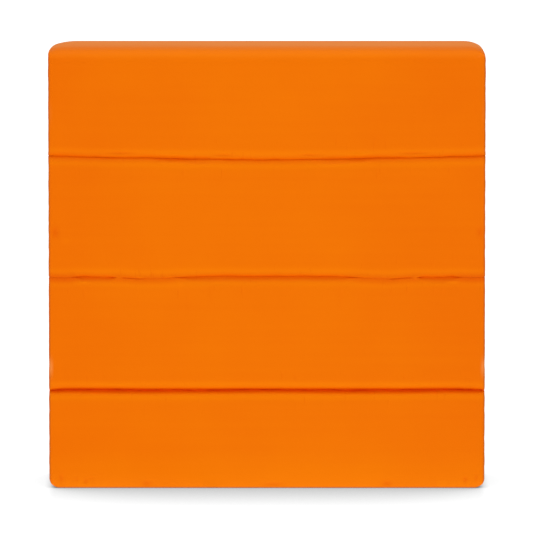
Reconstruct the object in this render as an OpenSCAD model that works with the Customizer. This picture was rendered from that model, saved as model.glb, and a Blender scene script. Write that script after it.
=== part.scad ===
/* [Block] */
// Width of the block, which is the length of each stick
block_w = 101.6; // [60:0.1:160]
// Thickness of the block from front face to back face
block_t = 25.4; // [15:0.1:40]

/* [Stick heights] */
// Height of the bottom stick, which settled under the others
bottom_h = 23.2; // [15:0.1:40]
// Height of the second stick
lower_h = 26.3; // [15:0.1:40]
// Height of the third stick
upper_h = 28.5; // [15:0.1:40]
// Height of the top stick
top_h = 24.8; // [15:0.1:40]

/* [Rounded edges] */
// Radius of the two long edges along the top of the block
crown_r = 2.8; // [0.5:0.1:5]
// Radius of the two long edges along the bottom of the block
foot_r = 1.7; // [0.5:0.1:5]
// Radius of the long edges on each side of a seam
seam_r = 1.1; // [0.3:0.1:3]
// Radius of the block's two upper corners, seen from the front
crown_corner_r = 2.4; // [0.5:0.1:6]
// Radius of the block's two lower corners, seen from the front
foot_corner_r = 2.4; // [0.5:0.1:6]
// Radius of the corners where a seam runs out at the side, seen from the front
seam_corner_r = 0.6; // [0.2:0.1:2]
// Radius of the upright edges where each stick was cut to length
cut_edge_r = 0.9; // [0.2:0.1:3]

/* [Look] */
// Colour of the clay
clay_colour = "#F17201"; // [#F17201:Orange, #C8102E:Red, #F2C500:Yellow, #3A7D44:Green]

/* [Hidden] */
$fn = 96;
overshoot = 1;

// Seam heights, counted up from the surface that the block stands on
bottom_seam_z = bottom_h;
middle_seam_z = bottom_seam_z + lower_h;
top_seam_z = middle_seam_z + upper_h;

// What a corner of radius r loses, with the corner at the origin and the part towards +X and +Y
module corner_waste(r) {
    difference() {
        translate([-overshoot, -overshoot]) square(r + overshoot);
        translate([r, r]) circle(r);
    }
}

// A rectangle w wide and h tall, centred on X and standing on the X axis, with rounded corners
module rounded_outline(w, h, low_r, high_r) {
    difference() {
        translate([-w / 2, 0]) square([w, h]);
        for (flip = [0, 1])
            mirror([flip, 0]) {
                translate([-w / 2, 0]) corner_waste(low_r);
                translate([-w / 2, h]) mirror([0, 1]) corner_waste(high_r);
            }
    }
}

// One stick: the extruded bar's end profile, its outline from the front and its outline from above
module stick(h, low_r, high_r, low_corner_r, high_corner_r) {
    intersection() {
        rotate([90, 0, 90])
            linear_extrude(block_w, center = true) rounded_outline(block_t, h, low_r, high_r);
        rotate([90, 0, 0])
            linear_extrude(block_t, center = true)
                rounded_outline(block_w, h, low_corner_r, high_corner_r);
        translate([0, -block_t / 2, 0])
            linear_extrude(h) rounded_outline(block_w, block_t, cut_edge_r, cut_edge_r);
    }
}

module bottom_stick() {
    color(clay_colour)
        stick(bottom_h, foot_r, seam_r, foot_corner_r, seam_corner_r);
}

module lower_stick() {
    color(clay_colour)
        translate([0, 0, bottom_seam_z])
            stick(lower_h, seam_r, seam_r, seam_corner_r, seam_corner_r);
}

module upper_stick() {
    color(clay_colour)
        translate([0, 0, middle_seam_z])
            stick(upper_h, seam_r, seam_r, seam_corner_r, seam_corner_r);
}

module top_stick() {
    color(clay_colour)
        translate([0, 0, top_seam_z])
            stick(top_h, seam_r, crown_r, seam_corner_r, crown_corner_r);
}

bottom_stick();
lower_stick();
upper_stick();
top_stick();
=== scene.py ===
import math

import bpy
import numpy as np
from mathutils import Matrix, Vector


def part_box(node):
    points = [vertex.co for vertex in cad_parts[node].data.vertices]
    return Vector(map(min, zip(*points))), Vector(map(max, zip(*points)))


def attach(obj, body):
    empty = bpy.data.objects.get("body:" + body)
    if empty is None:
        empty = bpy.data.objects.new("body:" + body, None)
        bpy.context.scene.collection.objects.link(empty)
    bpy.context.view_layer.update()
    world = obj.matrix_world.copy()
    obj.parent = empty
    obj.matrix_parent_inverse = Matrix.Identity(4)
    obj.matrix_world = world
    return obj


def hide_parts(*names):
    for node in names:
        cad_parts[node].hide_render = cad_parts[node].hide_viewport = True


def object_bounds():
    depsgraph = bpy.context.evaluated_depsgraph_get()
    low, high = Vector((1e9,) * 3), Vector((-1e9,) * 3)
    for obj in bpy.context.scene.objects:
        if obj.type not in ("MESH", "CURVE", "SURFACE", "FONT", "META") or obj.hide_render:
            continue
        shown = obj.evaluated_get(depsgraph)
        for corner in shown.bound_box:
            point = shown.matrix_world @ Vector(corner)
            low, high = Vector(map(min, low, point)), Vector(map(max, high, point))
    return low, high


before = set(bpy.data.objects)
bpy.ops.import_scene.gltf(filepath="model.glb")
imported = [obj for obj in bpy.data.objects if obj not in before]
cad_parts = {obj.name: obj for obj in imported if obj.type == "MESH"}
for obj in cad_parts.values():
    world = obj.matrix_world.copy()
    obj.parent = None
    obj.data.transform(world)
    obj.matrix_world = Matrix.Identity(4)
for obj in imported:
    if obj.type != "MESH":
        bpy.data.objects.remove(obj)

cad_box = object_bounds()

# Lengths are in millimetres, and MM turns them into Blender's metres.
MM = 0.001
# The sticks from the bottom up. Seam 0 is between the first two, and so on.
STICKS = ["bottom_stick", "lower_stick", "upper_stick", "top_stick"]
SEAMS = range(len(STICKS) - 1)

# The block's half width and half thickness, and the heights of its foot, its seams and its top.
low, high = (np.array(corner) / MM for corner in cad_box)
HALF_W = (high[0] - low[0]) / 2
HALF_T = (high[1] - low[1]) / 2
LEVELS = [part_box(stick)[0].z / MM for stick in STICKS] + [high[2]]
TOP = LEVELS[-1]

# Two places closer than this are the same place.
TINY = 1e-6

# ---------------------------------------------------------------- numbers that vary smoothly

# A wandering line or surface is a sum of waves: how many there are, the power by which the shorter
# ones are lower, and what the sum is divided by to bring it roughly between -1 and 1.
LINE_WAVES, LINE_POWER, LINE_SPAN = 7, 0.5, 2.2
SURFACE_WAVES, SURFACE_POWER, SURFACE_SPAN = 14, 0.6, 2.4
# Each wave of a line has its length changed by a random factor between these.
LENGTH_FACTORS = (0.85, 1.15)
# How many places along() averages over.
BLUR_STEPS = 5


def smooth(edge_0, edge_1, x):
    """0 up to edge_0 and 1 from edge_1 on, with an S curve between. Either edge may be the larger."""
    t = np.clip((x - edge_0) / (edge_1 - edge_0), 0, 1)
    return t * t * (3 - 2 * t)


def hump(distance, width):
    """1 at no distance, falling away to nothing like a bell."""
    return np.exp(-((distance / width) ** 2))


def along(profile, x, blur):
    """A value that is given at a few distances, read at x and rounded off over blur."""
    at, value = np.array(profile, float).T
    steps = np.linspace(-blur, blur, BLUR_STEPS)
    return np.mean([np.interp(x + step, at, value) for step in steps], axis=0)


def ripple(x, waves, which=0):
    """A wandering line about 0. waves is a seed, the longest wave and the shortest. which adds to the
    seed, for a line of its own."""
    seed, longest, shortest = waves
    rng = np.random.default_rng(seed + which)
    line = np.zeros_like(x, dtype=float)
    for length in np.geomspace(longest, shortest, LINE_WAVES):
        length = length * rng.uniform(*LENGTH_FACTORS)
        wave = np.sin(2 * math.pi * (x / length + rng.uniform()))
        line += wave * (length / longest) ** LINE_POWER
    return line / LINE_SPAN


def rumple(u, v, waves, which=0):
    """A wandering surface about 0. waves and which are as for ripple()."""
    seed, longest, shortest = waves
    rng = np.random.default_rng(seed + which)
    surface = np.zeros_like(u, dtype=float)
    for length in np.geomspace(longest, shortest, SURFACE_WAVES):
        turn = rng.uniform(0, 2 * math.pi)
        place = (u * math.cos(turn) + v * math.sin(turn)) / length + rng.uniform()
        surface += np.sin(2 * math.pi * place) * (length / longest) ** SURFACE_POWER
    return surface / SURFACE_SPAN


# ---------------------------------------------------------------- the three seams
# A list of three is for the three seams, bottom seam first. Where a profile goes by distance from
# the block's middle, it is the same at both sides. Waves are a seed, the longest and the shortest.

# How far each seam wanders from its level, by distance from the middle, and the length that the
# profile's corners are rounded off over.
SAGS = [
    [(0, -0.13), (14, -0.22), (30, -0.22), (44, -0.08), (49, -0.15), (51, -0.35)],
    [
        (0, 0.26), (8, 0.30), (18, 0.20), (21, 0.08), (24, -0.12), (28, -0.24), (30.5, -0.20),
        (33, 0.05), (38, 0.10), (44, 0.18), (47, 0.05), (51, 0.15),
    ],
    [(0, -0.95), (5, -0.90), (14, -0.80), (21, -0.68), (28, -0.50), (38, -0.40), (51, 0.0)],
]
SAG_BLUR = 2.0
# How much each seam wavers besides that.
WAVERS = [0.02, 0.05, 0.05]
SEAM_WAVES = (11, 16, 3)
# The share of all this that a seam has lost where it reaches the back.
LOST_BEHIND = 0.35
# Inside a seam the sticks are pressed into each other in lumps, coarse and fine: height and waves.
LUMPS = [(0.2, (31, 14, 3)), (0.05, (41, 4, 1.8))]
# How far in from the faces the lumps begin, and where they reach their height.
LUMPS_BEGIN, LUMPS_FULL = 1.0, 4.5

# How open each seam is at the front, by distance from the middle: at 0 the clay has fused.
OPENNESS = [
    [(0, 0.95), (20, 1.0), (40, 1.0), (48, 0.9), (51, 0.8)],
    [
        (0, 0.8), (14, 0.85), (18, 0.7), (21.5, 0.0), (28, 0.0), (29.5, 0.1), (33, 0.1),
        (34.2, 0.0), (35.2, 0.0), (36, 0.7), (43.5, 0.8), (44.8, 0.05), (51, 0.05),
    ],
    [
        (0, 0.8), (5, 0.85), (10, 0.75), (12.5, 0.5), (14, 0.9), (24, 1.0), (30, 0.8),
        (38, 0.75), (44, 0.8), (51, 0.95),
    ],
]
OPENNESS_BLUR = 0.5
# How open every seam is at the back, and how far that goes up and down along it.
BACK_OPENNESS, BACK_VARIES = 0.75, 0.25
BACK_WAVES = (80, 45, 7)

# The slot between two sticks where the seam is fully open: its width at the face and its depth.
SLOTS = [(1.6, 2.0), (1.1, 1.1), (1.2, 1.1)]
# The share of that depth which is left where the seam has fused.
SHALLOWEST = 0.15
# Below 1, this power keeps a slot wide until it closes.
SLOT_POWER = 0.7

# How far each lip is rounded off where the seam is open, across the seam and into the block:
# -1 is the stick below the seam and 1 the stick above it.
LIPS = [
    {-1: (0.45, 0.3), 1: (1.0, 0.5)},
    {-1: (0.9, 0.4), 1: (0.6, 0.35)},
    {-1: (1.2, 0.5), 1: (0.6, 0.35)},
]
# The same for every lip where the seam has fused.
FUSED_LIP = (1.2, 0.015)
# A lip's size goes up and down along the seam, by a share that is this many times the seam's waver.
LIP_WAVER = 3.5
LIP_WAVES = (50, 9, 1.6)

# How far the faces fall back beside a seam that is open, and within what distance of it: -1 and 1
# are as for the lips.
FALLS = [
    {-1: (0.35, 1.9), 1: (0.45, 1.9)},
    {-1: (0.8, 1.5), 1: (0.10, 1.8)},
    {-1: (0.35, 1.8), 1: (0.4, 1.8)},
]
# How far they fall back where it has fused.
FUSED_FALL = 0.2


def seam_level(seam, x, y):
    """The height of the surface where two sticks meet, over the whole seam."""
    wander = along(SAGS[seam], np.abs(x), SAG_BLUR)
    wander = wander + WAVERS[seam] * ripple(x, SEAM_WAVES, seam)
    wander = wander * (1 - LOST_BEHIND * smooth(-HALF_T, HALF_T, y))
    inside = smooth(HALF_T - LUMPS_BEGIN, HALF_T - LUMPS_FULL, np.abs(y))
    pressed = sum(height * rumple(x, y, waves, seam) for height, waves in LUMPS)
    return LEVELS[seam + 1] + wander + inside * pressed


def openness(seam, x, back):
    """0 where the clay has fused across a seam at a face, and 1 where the seam is fully open."""
    front = along(OPENNESS[seam], np.abs(x), OPENNESS_BLUR)
    behind = BACK_OPENNESS + BACK_VARIES * ripple(x, BACK_WAVES, seam)
    return np.clip(np.where(back, behind, front), 0, 1)


def lip(seam, side, x, back):
    """How far a lip is rounded off, into the block and then across the seam. side is -1 or 1."""
    share = openness(seam, x, back)
    place = np.where(back, x, np.abs(x))
    wobble = 1 + LIP_WAVER * WAVERS[seam] * ripple(place, LIP_WAVES, 10 * seam + side)
    across, depth = (
        fused + (opened - fused) * share for fused, opened in zip(FUSED_LIP, LIPS[seam][side])
    )
    return depth * wobble, across * wobble


def slot(seam, x, y):
    """Half the gap between two sticks, which closes a little way in from each face."""
    width, depth = SLOTS[seam]
    share = openness(seam, x, y > 0)
    depth = depth * (SHALLOWEST + (1 - SHALLOWEST) * share)
    narrowing = np.clip((np.abs(y) - (HALF_T - depth)) / depth, 0, 1) ** SLOT_POWER
    return width / 2 * share * narrowing


# ---------------------------------------------------------------- a stick's shape

# Where a mesh has points, along x, y and z: how far apart in the middle, how far apart near both
# ends, and how far in from the ends they are that close.
SPACINGS = [(0.5, 0.25, 5.5), (0.8, 0.17, 2.7), (0.5, 0.17, 3.4)]

# A mating face is smooth at its edges and torn inside. The change begins and ends this far in from
# the faces, and from the ends.
TORN_FROM_FACE = (1.0, 2.2)
TORN_FROM_END = (0.0, 1.5)

# Rounded edges and corners: how far in from the side, then how far up or down.
CROWN_EDGE = (2.8, 2.8)
FOOT_EDGE = (1.5, 4.5)
FOOT_CORNER = (2.5, 2.5)
SEAM_CORNER = (0.25, 0.25)
# The upper corners, left (-1) and right (1) from the front: at the front face, then at the back face.
CROWN_CORNERS = {-1: [(3.0, 0.6), (7.0, 2.2)], 1: [(3.0, 1.6), (5.0, 2.8)]}
# The radius of the upright edges where a stick was cut to length, and the share that it varies by.
CUT_EDGE = 0.9
CUT_VARIES = 0.15
CUT_WAVES = (70, 30, 7)
# Chips out of the front's upright edges: height, half height, depth and how strong the painted highlight is
# there.
CHIPS = [(28.5, 1.7, 0.5, 1.0), (59.0, 1.2, 0.25, 0.0), (88.0, 2.2, 0.2, 0.1)]
# How far the top drops towards the front and towards the back, and how far from the edge it begins.
FRONT_DROP, BACK_DROP = 0.7, 0.15
DROP_REACH = 8


def stations(length, step, edge_step, edge_zone):
    """Places from 0 to length, close together near both ends."""
    edge = np.arange(0, edge_zone, edge_step)
    middle = np.linspace(edge_zone, length - edge_zone, round((length - 2 * edge_zone) / step) + 1)
    return np.concatenate([edge, middle, length - edge[::-1]])


def box_skin(xs, ys, zs):
    """The points of a box's surface and the quads that join them, facing out."""
    shape = len(xs), len(ys), len(zs)
    skin = np.zeros(shape, bool)
    sides = [(slice(None),) * axis + (end,) for axis in range(3) for end in (0, -1)]
    for side in sides:
        skin[side] = True
    number = np.full(shape, -1)
    number[skin] = np.arange(skin.sum())
    quads = []
    for side in sides:
        axis, at_start = len(side) - 1, side[-1] == 0
        sheet = number[side]
        # Taken this way round, the quads face +X, -Y or +Z, so on the other three sides they turn.
        ring = [sheet[:-1, :-1], sheet[1:, :-1], sheet[1:, 1:], sheet[:-1, 1:]]
        if at_start != (axis == 1):
            ring.reverse()
        quads.append(np.stack(ring, axis=-1).reshape(-1, 4))
    points = np.stack(np.meshgrid(xs, ys, zs, indexing="ij"), axis=-1)[skin]
    return points, np.concatenate(quads)


def round_corner(u, v, corner_u, corner_v, inward_u, inward_v, radius_u, radius_v):
    """Moves the points near one corner of a rectangle so that the corner becomes a quarter ellipse."""
    a = 1 - (u - corner_u) * inward_u / radius_u
    b = 1 - (v - corner_v) * inward_v / radius_v
    near = (a > 0) & (b > 0)
    a, b = np.where(near, a, 1), np.where(near, b, 1)
    pull = np.maximum(a, b) / np.hypot(a, b)
    new_u = corner_u + inward_u * radius_u * (1 - a * pull)
    new_v = corner_v + inward_v * radius_v * (1 - b * pull)
    return np.where(near, new_u, u), np.where(near, new_v, v)


def crown_corner(end, y):
    """An upper corner's width and height, which change from the front face to the back face."""
    deep = (y + HALF_T) / (2 * HALF_T)
    front, back = CROWN_CORNERS[end]
    return [at_front + (at_back - at_front) * deep for at_front, at_back in zip(front, back)]


def cut_radius(end, face, z):
    """The radius of one upright edge at a height. The front's two edges are wider in their chips."""
    radius = CUT_EDGE * (1 + CUT_VARIES * ripple(z, CUT_WAVES, end + 2 * face))
    if face < 0:
        for chip_z, chip_half, chip_depth, _ in CHIPS:
            radius = radius + chip_depth * hump(z - chip_z, chip_half)
    return radius


def torn_share(x, y):
    """How torn a mating face is, from 0 at its edges to 1 inside."""
    from_face, from_end = HALF_T - np.abs(y), HALF_W - np.abs(x)
    return smooth(*TORN_FROM_FACE, from_face) * smooth(*TORN_FROM_END, from_end)


def shape_stick(index):
    """One stick's points and quads, and how far each point is on a torn face and on a cut end."""
    bottom, top = LEVELS[index], LEVELS[index + 1]
    height = top - bottom
    sizes = 2 * HALF_W, 2 * HALF_T, height
    xs, ys, zs = (stations(size, *spacing) for size, spacing in zip(sizes, SPACINGS))
    points, quads = box_skin(xs - HALF_W, ys - HALF_T, zs)
    x, y, z = points.T
    meets_below, meets_above = index > 0, index < len(STICKS) - 1
    meeting = (meets_below & (z < TINY)) | (meets_above & (z > height - TINY))
    torn = meeting * torn_share(x, y)
    cut = (np.abs(x) > HALF_W - TINY).astype(float)

    # Long edges, whose radius changes along the stick.
    for face in (-1, 1):
        foot = lip(index - 1, 1, x, face > 0) if meets_below else FOOT_EDGE
        head = lip(index, -1, x, face > 0) if meets_above else CROWN_EDGE
        y, z = round_corner(y, z, face * HALF_T, 0, -face, 1, *foot)
        y, z = round_corner(y, z, face * HALF_T, height, -face, -1, *head)
    # Corners as the front shows them.
    for end in (-1, 1):
        foot = SEAM_CORNER if meets_below else FOOT_CORNER
        head = SEAM_CORNER if meets_above else crown_corner(end, y)
        x, z = round_corner(x, z, end * HALF_W, 0, -end, 1, *foot)
        x, z = round_corner(x, z, end * HALF_W, height, -end, -1, *head)
    # Upright edges, where the stick was cut to length.
    for end in (-1, 1):
        for face in (-1, 1):
            radius = cut_radius(end, face, z + bottom)
            x, y = round_corner(x, y, end * HALF_W, face * HALF_T, -end, -face, radius, radius)

    # The top of the block is highest in the middle and drops to its front and back edges.
    if not meets_above:
        near_edge = np.clip(1 - (HALF_T - np.abs(y)) / DROP_REACH, 0, 1)
        drop = np.where(y < 0, FRONT_DROP, BACK_DROP) * near_edge ** 2
        z = z * (1 - drop / height)
    # The stick fills the room between its two seams, less half of each slot.
    below = seam_level(index - 1, x, y) + slot(index - 1, x, y) if meets_below else bottom
    above = seam_level(index, x, y) - slot(index, x, y) if meets_above else top
    z = below + z / height * (above - below)
    return np.stack([x, y, z], axis=-1), quads, torn, cut


# ---------------------------------------------------------------- marks on the outside

# Small marks on the front: x, height, half width, half height, and depth, or how raised if negative.
MARKS = [
    (-42.5, LEVELS[2] - 0.9, 1.1, 0.28, -0.16),
    (43.4, LEVELS[2] - 0.9, 1.1, 0.28, -0.16),
    (-49.2, 60.2, 0.9, 1.2, 0.35),
    (-46.6, 58.2, 0.9, 0.7, -0.08),
    (49.6, 60.2, 0.8, 1.1, 0.30),
    (-28.0, 1.1, 1.0, 0.7, 0.30),
    (1.5, 0.9, 2.2, 0.5, 0.25),
    (28.0, 1.1, 1.0, 0.7, 0.30),
    (-48.0, 2.4, 0.50, 1.0, 0.22),
    (-44.3, 2.0, 0.40, 0.6, 0.15),
    (-42.2, 1.6, 0.50, 0.6, 0.30),
    (-40.9, 2.4, 0.60, 0.5, 0.12),
    (46.3, 2.0, 0.50, 0.8, 0.25),
    (48.8, 2.5, 0.35, 0.8, 0.20),
    (-18.5, 44.5, 0.6, 3.0, 0.05),
    (-13.0, 46.5, 0.6, 2.5, 0.05),
    (17.0, 45.5, 0.7, 3.0, 0.05),
    (-47.0, 36.6, 2.6, 0.35, 0.05),
    (46.5, 36.6, 2.6, 0.35, 0.05),
]
# Creases along the seams, the same at both sides: seam, distance from the block's middle, height
# above the seam, half length, and depth, or how raised if negative.
CREASES = [
    (2, 34.0, 1.15, 3.2, 0.22),
    (2, 21.4, 1.05, 2.5, -0.20),
    (2, 21.4, -0.95, 2.5, -0.20),
    (2, 15.0, -1.20, 3.5, -0.22),
    (2, 10.0, 1.00, 2.2, 0.20),
    (1, 34.6, 0.00, 0.6, -0.25),
    (1, 29.3, 0.40, 0.9, -0.20),
    (1, 22.8, 0.35, 0.9, -0.20),
    (0, 36.0, 1.30, 5.0, -0.12),
    (0, 12.0, 1.25, 6.0, -0.12),
]
CREASE_HALF_HEIGHT = 0.3
# Broad shallow hollows in the front and the back: their usual depth, and their waves.
HOLLOW = 0.05
HOLLOW_WAVES = (90, 34, 7)
# Ridges that the cutting wire left across the ends: their usual depth, their waves, and how much
# they bow from front to back.
RIDGE = 0.035
RIDGE_WAVES = (95, 9, 1.8)
RIDGE_BOW = 0.006
# How far in from the faces the hollows have died out, and from the ends the ridges.
FACE_SKIN, END_SKIN = 1.2, 1.0


def scars(x, z):
    """How deep the small marks and creases are at a place on the front."""
    marks = sum(
        depth * hump(x - at_x, half_x) * hump(z - at_z, half_z)
        for at_x, at_z, half_x, half_z, depth in MARKS
    )
    creases = sum(
        depth * hump(np.abs(x) - at_x, half_x)
        * hump(z - seam_level(seam, x, -HALF_T) - above, CREASE_HALF_HEIGHT)
        for seam, at_x, above, half_x, depth in CREASES
    )
    return marks + creases


def weather(points, index):
    """Hollows, marks and ridges. They only ever go inwards, so the block's size holds."""
    x, y, z = points.T
    front = smooth(-HALF_T + FACE_SKIN, -HALF_T, y)
    back = smooth(HALF_T - FACE_SKIN, HALF_T, y)
    hollow = HOLLOW * (1 + rumple(x, z, HOLLOW_WAVES))
    for seam in SEAMS:
        distance = z - seam_level(seam, x, y)
        fall, reach = FALLS[seam][1 if index > seam else -1]
        fall = FUSED_FALL + (fall - FUSED_FALL) * openness(seam, x, y > 0)
        hollow = hollow + fall * hump(distance, reach)
    y = y + front * np.maximum(hollow + scars(x, z), 0) - back * np.maximum(hollow, 0)
    end = np.sign(x) * smooth(HALF_W - END_SKIN, HALF_W, np.abs(x))
    ridges = 1 + np.clip(ripple(z + RIDGE_BOW * y * y, RIDGE_WAVES), -1, 1)
    return np.stack([x - end * RIDGE * ridges, y, z], axis=-1)


# ---------------------------------------------------------------- how the clay varies, and painted light and shade
# add_stick() keeps these numbers on the mesh, one for each point, and clay_material() reads them.
# The first two numbers in a smooth() are where a change begins and where it is done.

# The foot is rubbed lighter around this distance from the middle, in patches.
RUBBED_AT, RUBBED_REACH = 43, 4.5
RUBBED_WAVES = (97, 5, 1.2)
# How far from its seam a lip's painted highlight is brightest, and how wide that stretch is.
LIP_AT, LIP_WIDTH = 1.5, 0.7
# How much painted shade each seam gets inside, where it is open.
OPEN_SEAM_SHADE = [0.0, 0.45, 0.1]
# How far from a seam its stretch marks reach.
STRAIN_REACH = 4.0


def worn(x, z):
    """1 where the foot is rubbed lighter, in patches towards both ends."""
    near_foot = smooth(2.4, 0.9, z)
    near_end = hump(np.abs(x) - RUBBED_AT, RUBBED_REACH)
    return near_foot * near_end * (0.55 + 0.45 * ripple(x, RUBBED_WAVES))


def tone_and_highlights(points):
    """How light the clay is, about 0 to 1: deeper near the ends, painted highlights at the top, the foot
    (light from the floor), the lips and raised marks, and lighter where the foot is worn.
    """
    x, y, z = points.T
    near_end = smooth(12, 48, np.abs(x))
    near_foot = smooth(11, 1, z)
    near_top = smooth(TOP - 2.4, TOP - 1.0, z)
    light = 0.42 - 0.30 * near_end + 0.5 * near_foot + 0.6 * near_top
    for seam in SEAMS:
        distance = np.abs(z - seam_level(seam, x, y))
        light = light + 0.6 * hump(distance - LIP_AT, LIP_WIDTH)
    raised = np.maximum(-scars(x, z), 0) * (y < 0)
    return light + 0.8 * worn(x, z) + 3.0 * raised


def painted_sheen(points):
    """Painted sheen: 1 on top of the block, where a grazing sheen is painted as paler clay, fading out
    towards the front.
    """
    x, y, z = points.T
    near_top = smooth(TOP - 2.6, TOP - 0.9, z)
    towards_back = smooth(-10.5, 2.5, y)
    return near_top * towards_back


def painted_shade(points):
    """Painted shade, 1 where it is deepest: in a dented mark, in the shallow hollow where a seam has fused,
    and somewhat inside an open seam.
    """
    x, y, z = points.T
    near_end = smooth(36, 46, np.abs(x))
    marked = np.maximum(scars(x, z), 0) * (y < 0)
    dark = 1.4 * marked
    for seam in SEAMS:
        above = z - seam_level(seam, x, y)
        share = openness(seam, x, y > 0)
        fused = (1 - share) ** 2 * (0.55 + 0.35 * near_end)
        dark = dark + fused * hump(above + 0.2, 1.0) + OPEN_SEAM_SHADE[seam] * share * hump(above, 0.8)
    return np.clip(dark, 0, 1)


def chip_highlight(points):
    """Painted highlight, 1 where it is strongest: on the flattened facet in the middle of a chip."""
    x, y, z = points.T
    near_end = smooth(HALF_W - 1.3, HALF_W - 0.3, np.abs(x))
    near_front = smooth(-HALF_T + 1.5, -HALF_T, y)
    chipped = sum(highlight_share * hump(z - chip_z, chip_half) for chip_z, chip_half, _, highlight_share in CHIPS)
    return near_end * near_front * chipped


def painted_edge_shade(points):
    """How much painted shade there is, from 0 to 1: along the upright cut edges, at the foot where it meets
    the floor, and along the top's back edge.
    """
    x, y, z = points.T
    near_end = hump(HALF_W - 0.1 - np.abs(x), 0.3)
    near_face = smooth(HALF_T - 1.6, HALF_T - 0.8, np.abs(y))
    near_foot = smooth(0.5, 0.1, z)
    near_back = hump(y - HALF_T + 2.0, 1.2)
    near_top = smooth(TOP - 1.5, TOP - 0.5, z)
    cut_edges = near_end * near_face
    back_edge = near_back * near_top
    return np.clip(0.6 * cut_edges + 0.6 * near_foot + 0.35 * back_edge, 0, 1)


def strain(points):
    """How stretched the clay is: 1 at the seams' levels, falling away to 0."""
    return sum(hump(points[:, 2] - level, STRAIN_REACH) for level in LEVELS[1:-1])


# ---------------------------------------------------------------- the pieces

# Faces that meet at more than this angle keep a sharp edge.
SHARP = math.radians(60)


def add_stick(index, material):
    """One stick's piece, riding on its own body in place of its plain solid."""
    name = STICKS[index]
    points, quads, torn, cut = shape_stick(index)
    points = weather(points, index)
    # Some of these are painted light and shade: the sheen on top, the shade in dents, in seams and along
    # edges, and the highlights on the lips, the foot, the top and the chips.
    looks = {
        "torn": torn,
        "cut": cut,
        "painted_sheen": painted_sheen(points),
        "tone_and_highlights": tone_and_highlights(points),
        "painted_shade": painted_shade(points),
        "chip_highlight": chip_highlight(points),
        "painted_edge_shade": painted_edge_shade(points),
        "strain": strain(points),
    }
    mesh = bpy.data.meshes.new(name + "_clay")
    mesh.from_pydata((points * MM).tolist(), [], quads.tolist())
    mesh.shade_smooth()
    mesh.set_sharp_from_angle(angle=SHARP)
    for label, values in looks.items():
        mesh.attributes.new(label, "FLOAT", "POINT").data.foreach_set("value", values)
    mesh.materials.append(material)
    piece = bpy.data.objects.new(name + "_clay", mesh)
    bpy.context.scene.collection.objects.link(piece)
    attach(piece, name)
    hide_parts(name)


# ---------------------------------------------------------------- building materials

WHITE = (1, 1, 1, 1)


def put(tree, socket, value):
    """Gives a socket a plain value, or links it to another node's output."""
    if isinstance(value, bpy.types.NodeSocket):
        tree.links.new(value, socket)
    else:
        socket.default_value = value


def node(tree, kind, result, inputs, **settings):
    """Adds a node with its inputs and settings, and returns one of its outputs."""
    made = tree.nodes.new("ShaderNode" + kind)
    for name, value in settings.items():
        setattr(made, name, value)
    for name, value in inputs.items():
        put(tree, made.inputs[name], value)
    return made.outputs[result]


def maths(tree, operation, *values):
    """One sum on numbers or node outputs."""
    return node(tree, "Math", "Value", dict(enumerate(values)), operation=operation)


def weighted(tree, start, *terms):
    """A start value, plus each term times its weight."""
    result = start
    for value, weight in terms:
        result = maths(tree, "MULTIPLY_ADD", value, weight, result)
    return result


def blend(tree, share, first, second):
    """A colour between two others."""
    made = tree.nodes.new("ShaderNodeMix")
    made.data_type = "RGBA"
    put(tree, made.inputs[0], share)
    put(tree, made.inputs[6], first)
    put(tree, made.inputs[7], second)
    return made.outputs[2]


def noise(tree, place, size, detail):
    """Cloudy noise about 0, between -0.5 and 0.5, with lumps of the given size in millimetres.
    A size for each axis stretches it."""
    sizes = size if isinstance(size, tuple) else (size, size, size)
    scale = tuple(1 / (length * MM) for length in sizes)
    stretched = node(tree, "VectorMath", "Vector", {0: place, 1: scale}, operation="MULTIPLY")
    cloud = node(tree, "TexNoise", "Fac", {"Vector": stretched, "Scale": 1.0, "Detail": detail})
    return maths(tree, "SUBTRACT", cloud, 0.5)


def painted(tree, label):
    """The number that add_stick() kept on the mesh under a label."""
    return node(tree, "Attribute", "Fac", {}, attribute_name=label)


# ---------------------------------------------------------------- clay

# Plain clay at its deepest and its lightest.
DEEP, LIGHT = (0.868, 0.159, 0.0, 1), (0.912, 0.195, 0.0, 1)
# Clay on a torn face; painted shade in dents and seams; a painted sheen on top of the block; a painted
# highlight on a chip; painted shade along the edges and the foot.
FRESH = (0.95, 0.14, 0.0, 1)
SHADE_COLOUR = (0.80, 0.110, 0.0, 1)
SHEEN_COLOUR = (0.89, 0.263, 0.045, 1)
CHIP_HIGHLIGHT_COLOUR = (0.95, 0.29, 0.06, 1)
EDGE_SHADE_COLOUR = (0.50, 0.11, 0.012, 1)
# A stretch mark shows only where its noise is above this.
MARK_THRESHOLD = 0.14
# How glossy the clay is: almost matt.
GLOSS = 0.03


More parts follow.
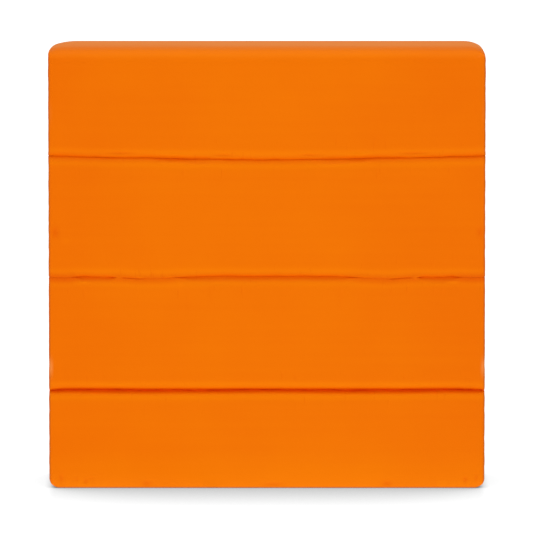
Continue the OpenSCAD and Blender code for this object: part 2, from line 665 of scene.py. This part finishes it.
def clay_material():
    """Orange oil clay: faint pigment streaks, a fine grain, torn faces inside and wire-cut ends."""
    material = bpy.data.materials.new("clay")
    material.use_nodes = True
    tree = material.node_tree
    shader = tree.nodes["Principled BSDF"]
    place = node(tree, "TexCoord", "Object", {})
    torn, cut = painted(tree, "torn"), painted(tree, "cut")
    outside = maths(tree, "SUBTRACT", 1.0, maths(tree, "MAXIMUM", torn, cut))

    clouds = noise(tree, place, size=18, detail=2)
    streaks = maths(tree, "MULTIPLY", noise(tree, place, size=(60, 2.2, 1.6), detail=3), outside)
    grain = noise(tree, place, size=0.35, detail=3)
    # Short upright stretch marks, few and faint, beside the seams.
    marks = noise(tree, place, size=(0.7, 4, 4), detail=2)
    marks = maths(tree, "MAXIMUM", maths(tree, "SUBTRACT", marks, MARK_THRESHOLD), 0.0)
    marks = maths(tree, "MULTIPLY", maths(tree, "MULTIPLY", marks, painted(tree, "strain")), outside)
    wire_lines = maths(tree, "MULTIPLY", noise(tree, place, size=(30, 30, 0.7), detail=4), cut)
    tears = maths(tree, "MULTIPLY", noise(tree, place, size=(2.6, 1.6, 1.6), detail=6), torn)

    # How light the clay is here includes painted highlights at the top, the foot, the seams' lips and
    # raised marks.
    shade = weighted(tree, painted(tree, "tone_and_highlights"), (clouds, 0.7), (streaks, 0.35), (marks, -5.0))
    colour = blend(tree, shade, DEEP, LIGHT)
    # Painted shade: deeper clay in dents, in fused seams and inside open ones.
    colour = blend(tree, painted(tree, "painted_shade"), colour, SHADE_COLOUR)
    colour = blend(tree, torn, colour, FRESH)
    # The painted sheen on top follows the streaks left by the die.
    patchy = weighted(tree, 1.0, (streaks, 1.2), (clouds, 0.4))
    colour = blend(tree, maths(tree, "MULTIPLY", painted(tree, "painted_sheen"), patchy), colour, SHEEN_COLOUR)
    # Painted shade along the upright cut edges, at the foot and along the top's back edge.
    colour = blend(tree, painted(tree, "painted_edge_shade"), colour, EDGE_SHADE_COLOUR)
    # A painted highlight on each chip's facet.
    colour = blend(tree, painted(tree, "chip_highlight"), colour, CHIP_HIGHLIGHT_COLOUR)
    put(tree, shader.inputs["Base Color"], colour)

    roughness = weighted(tree, 0.5, (grain, 0.2), (torn, 0.25))
    put(tree, shader.inputs["Roughness"], roughness)

    # The weights are heights in millimetres.
    height = weighted(
        tree, 0.0, (grain, 0.008), (streaks, 0.006), (marks, -0.25), (wire_lines, 0.22), (tears, 0.50)
    )
    bump = node(tree, "Bump", "Normal", {"Strength": 1.0, "Distance": MM, "Height": height})
    put(tree, shader.inputs["Normal"], bump)
    shader.inputs["Specular IOR Level"].default_value = GLOSS
    return material


# ---------------------------------------------------------------- studio

# The floor's half size in metres, how brightly it glows, and how far from the block it darkens.
FLOOR_HALF = 5.0
FLOOR_GLOW = 1.19
SHADOW_REACH = 46
# In front of the block the shadow is full. Beside it this share is gone, and the change reaches
# this far to both sides of the block's end.
WASHED_OUT = 0.59
WASH_REACH = 1.5

# How bright the sky is, what it gains straight ahead of the block's front, and how strong and how
# spread out the overhead lamp is.
SKY, SKY_AHEAD = 0.29, 0.64
LAMP, LAMP_SPREAD = 1.6, math.radians(70)

# The camera's sensor and lens, its distance in metres, and how far it looks down.
SENSOR, LENS = 36, 537.5
DISTANCE = 1.85
TILT = math.radians(7)
# The point on the front face that the camera looks at.
AIM = (-0.09, -HALF_T, TOP / 2 + 0.8)


def floor_material():
    """White that glows evenly, and that only the camera sees darken near the block."""
    material = bpy.data.materials.new("floor")
    material.use_nodes = True
    tree = material.node_tree
    tree.nodes.clear()
    split = tree.nodes.new("ShaderNodeSeparateXYZ")
    put(tree, split.inputs["Vector"], node(tree, "TexCoord", "Object", {}))
    wash = {
        "Value": maths(tree, "ABSOLUTE", split.outputs["X"]),
        "From Min": (HALF_W - WASH_REACH) * MM,
        "From Max": (HALF_W + WASH_REACH) * MM,
        "To Max": WASHED_OUT,
    }
    washed = node(tree, "MapRange", "Result", wash, interpolation_type="SMOOTHSTEP")
    shadow = node(tree, "AmbientOcclusion", "Color", {"Distance": SHADOW_REACH * MM})
    shadow = blend(tree, washed, shadow, WHITE)
    seen = node(tree, "LightPath", "Is Camera Ray", {})
    glow = blend(tree, seen, WHITE, shadow)
    emission = node(tree, "Emission", "Emission", {"Color": glow, "Strength": FLOOR_GLOW})
    output = tree.nodes.new("ShaderNodeOutputMaterial")
    put(tree, output.inputs["Surface"], emission)
    return material


def add_floor():
    """A pale floor, large enough to be the whole background."""
    mesh = bpy.data.meshes.new("floor")
    corners = [(-1, -1), (1, -1), (1, 1), (-1, 1)]
    mesh.from_pydata([(x * FLOOR_HALF, y * FLOOR_HALF, 0) for x, y in corners], [], [(0, 1, 2, 3)])
    mesh.materials.append(floor_material())
    floor = bpy.data.objects.new("floor", mesh)
    floor.visible_glossy = False
    bpy.context.scene.collection.objects.link(floor)


def add_light():
    """White light from above the horizon, strongest from the front, and a broad soft lamp overhead."""
    world = bpy.data.worlds.new("studio")
    bpy.context.scene.world = world
    world.use_nodes = True
    tree = world.node_tree
    background = tree.nodes["Background"]
    background.inputs["Color"].default_value = WHITE
    split = tree.nodes.new("ShaderNodeSeparateXYZ")
    put(tree, split.inputs["Vector"], node(tree, "TexCoord", "Generated", {}))
    above = maths(tree, "GREATER_THAN", split.outputs["Z"], 0.0)
    ahead = maths(tree, "MAXIMUM", maths(tree, "MULTIPLY", split.outputs["Y"], -1.0), 0.0)
    strength = weighted(tree, SKY, (ahead, SKY_AHEAD))
    put(tree, background.inputs["Strength"], maths(tree, "MULTIPLY", above, strength))

    lamp = bpy.data.lights.new("overhead", "SUN")
    lamp.energy = LAMP
    lamp.angle = LAMP_SPREAD
    bpy.context.scene.collection.objects.link(bpy.data.objects.new("overhead", lamp))
    bpy.context.scene.view_settings.view_transform = "Standard"


def add_camera():
    """A long lens in front of the block, looking down on it slightly."""
    data = bpy.data.cameras.new("camera")
    data.sensor_width = SENSOR
    data.lens = LENS
    camera = bpy.data.objects.new("camera", data)
    bpy.context.scene.collection.objects.link(camera)
    back = Vector((0, -math.cos(TILT), math.sin(TILT)))
    camera.location = Vector(AIM) * MM + back * DISTANCE
    camera.rotation_mode = "QUATERNION"
    camera.rotation_quaternion = (-back).to_track_quat("-Z", "Y")
    bpy.context.scene.camera = camera


add_camera()
add_light()
add_floor()
clay = clay_material()
for stick in range(len(STICKS)):
    add_stick(stick, clay)
